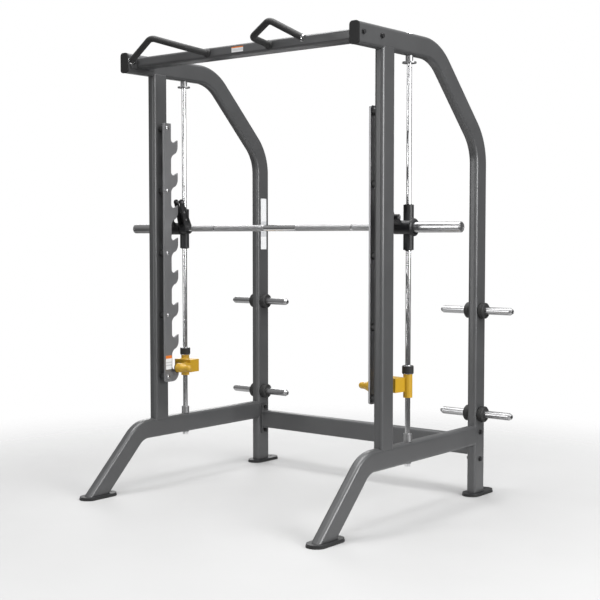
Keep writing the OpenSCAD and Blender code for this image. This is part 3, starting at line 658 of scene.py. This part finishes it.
class SMITH_OT_stage(bpy.types.Operator):
    """Builds the pale floor, the soft lights and the camera"""
    bl_idname = "smith.stage"
    bl_label = "Build the studio"

    def add_light(self, name, place, aim, size, power):
        lamp = bpy.data.lights.new(name, "AREA")
        lamp.shape = "RECTANGLE"
        lamp.size, lamp.size_y = size
        lamp.energy = power
        holder = bpy.data.objects.new(name, lamp)
        holder.location = place
        holder.rotation_euler = (Vector(aim) - Vector(place)).to_track_quat("-Z", "Y").to_euler()
        bpy.context.scene.collection.objects.link(holder)

    def add_world(self, scene, props):
        """White behind the machine, and a dim room graded from floor to ceiling for the reflections."""
        world = bpy.data.worlds.new("studio")
        scene.world = world
        world.use_nodes = True
        tree = world.node_tree
        shell = tree.nodes["Background"]
        seen = tree.nodes.new("ShaderNodeLightPath")
        split = tree.nodes.new("ShaderNodeSeparateXYZ")
        ramp = tree.nodes.new("ShaderNodeValToRGB")
        pick = tree.nodes.new("ShaderNodeMix")
        pick.data_type = "RGBA"
        low, high = ramp.color_ramp.elements
        low.position, low.color = 0.0, (*[props.room_low] * 3, 1)
        high.position, high.color = 0.9, (*[props.room_high] * 3, 1)
        tree.links.new(tree.nodes.new("ShaderNodeTexCoord").outputs["Generated"], split.inputs[0])
        tree.links.new(split.outputs["Z"], ramp.inputs[0])
        tree.links.new(seen.outputs["Is Camera Ray"], pick.inputs[0])
        tree.links.new(ramp.outputs[0], pick.inputs[6])
        pick.inputs[7].default_value = (1, 1, 1, 1)
        tree.links.new(pick.outputs[2], shell.inputs["Color"])

    def execute(self, context):
        scene = context.scene
        props = scene.smith_stage
        bm = bmesh.new()
        bmesh.ops.create_grid(bm, x_segments=1, y_segments=1, size=40)
        floor = bpy.data.objects.new("floor", finished_mesh(bm, "floor"))
        pale = Finish("pale_floor", roughness=0.6, specular=0.2)
        pale.feed(color=pale.mix(pale.noise(3, 4), (0.45, 0.45, 0.45), (0.47, 0.47, 0.47)))
        x, y, _ = pale.axes()
        fade = {"Value": (x * x + y * y).root(), "From Min": props.fade_start, "From Max": props.fade_end}
        away = pale.node("ShaderNodeMapRange", {"interpolation_type": "SMOOTHSTEP"}, fade)
        pale.feed(alpha=1 - away)
        floor.data.materials.append(pale.material)
        scene.collection.objects.link(floor)
        self.add_world(scene, props)
        for name, place, aim, size, power in (
                ("side_box", (6.0, 0.0, 2.6), (0, 0, 1.1), (3.0, 3.0), 330),
                ("front_strip", (-2.6, -6.0, 2.2), (0, 0, 1.2), (0.7, 4.0), 90),
                ("front_right_strip", (3.4, -6.5, 2.6), (0.3, 0, 1.2), (0.5, 4.0), 50),
                ("back_box", (-5.0, 4.5, 3.0), (0, 0, 1.1), (3.0, 3.0), 90),
                ("top_box", (0, 0, 5.5), (0, 0, 0), (4.5, 4.5), 420)):
            self.add_light(name, place, aim, size, power)
        looking = Vector((-math.sin(props.azimuth) * math.cos(props.elevation),
                          math.cos(props.azimuth) * math.cos(props.elevation), -math.sin(props.elevation)))
        camera = bpy.data.cameras.new("camera")
        camera.lens = props.lens
        camera.sensor_width = 36
        camera.clip_end = 200
        holder = bpy.data.objects.new("camera", camera)
        holder.location = Vector(props.aim) - looking * props.distance
        holder.rotation_euler = (math.pi / 2 - props.elevation, 0, props.azimuth)
        scene.collection.objects.link(holder)
        scene.camera = holder
        scene.view_settings.view_transform = "Standard"
        return {"FINISHED"}


class SMITH_PT_panel(bpy.types.Panel):
    """Buttons for each group of pieces"""
    bl_label = "Smith Machine"
    bl_idname = "SMITH_PT_panel"
    bl_space_type = "VIEW_3D"
    bl_region_type = "UI"
    bl_category = "Smith Machine"

    def draw(self, context):
        for group in ("smith_coat", "smith_bar", "smith_grip", "smith_stage"):
            settings = getattr(context.scene, group)
            for key in settings.__annotations__:
                self.layout.prop(settings, key)
        for operator in OPERATORS:
            self.layout.operator(operator.bl_idname)


SETTINGS = {
    "smith_coat": CoatSettings,
    "smith_bar": BarSettings,
    "smith_grip": GripSettings,
    "smith_stage": StageSettings,
}
OPERATORS = (
    SMITH_OT_stage, SMITH_OT_frame, SMITH_OT_welds, SMITH_OT_castings, SMITH_OT_bright_parts, SMITH_OT_bar,
    SMITH_OT_rack_plates, SMITH_OT_stops, SMITH_OT_rubber, SMITH_OT_grips, SMITH_OT_decals)


def register():
    for cls in (*SETTINGS.values(), *OPERATORS, SMITH_PT_panel):
        bpy.utils.register_class(cls)
    for name, cls in SETTINGS.items():
        setattr(bpy.types.Scene, name, PointerProperty(type=cls))


def unregister():
    for name in SETTINGS:
        delattr(bpy.types.Scene, name)
    for cls in reversed((*SETTINGS.values(), *OPERATORS, SMITH_PT_panel)):
        bpy.utils.unregister_class(cls)


def main():
    register()
    for operator in OPERATORS:
        group, name = operator.bl_idname.split(".")
        getattr(getattr(bpy.ops, group), name)()


if __name__ == "__main__":
    main()
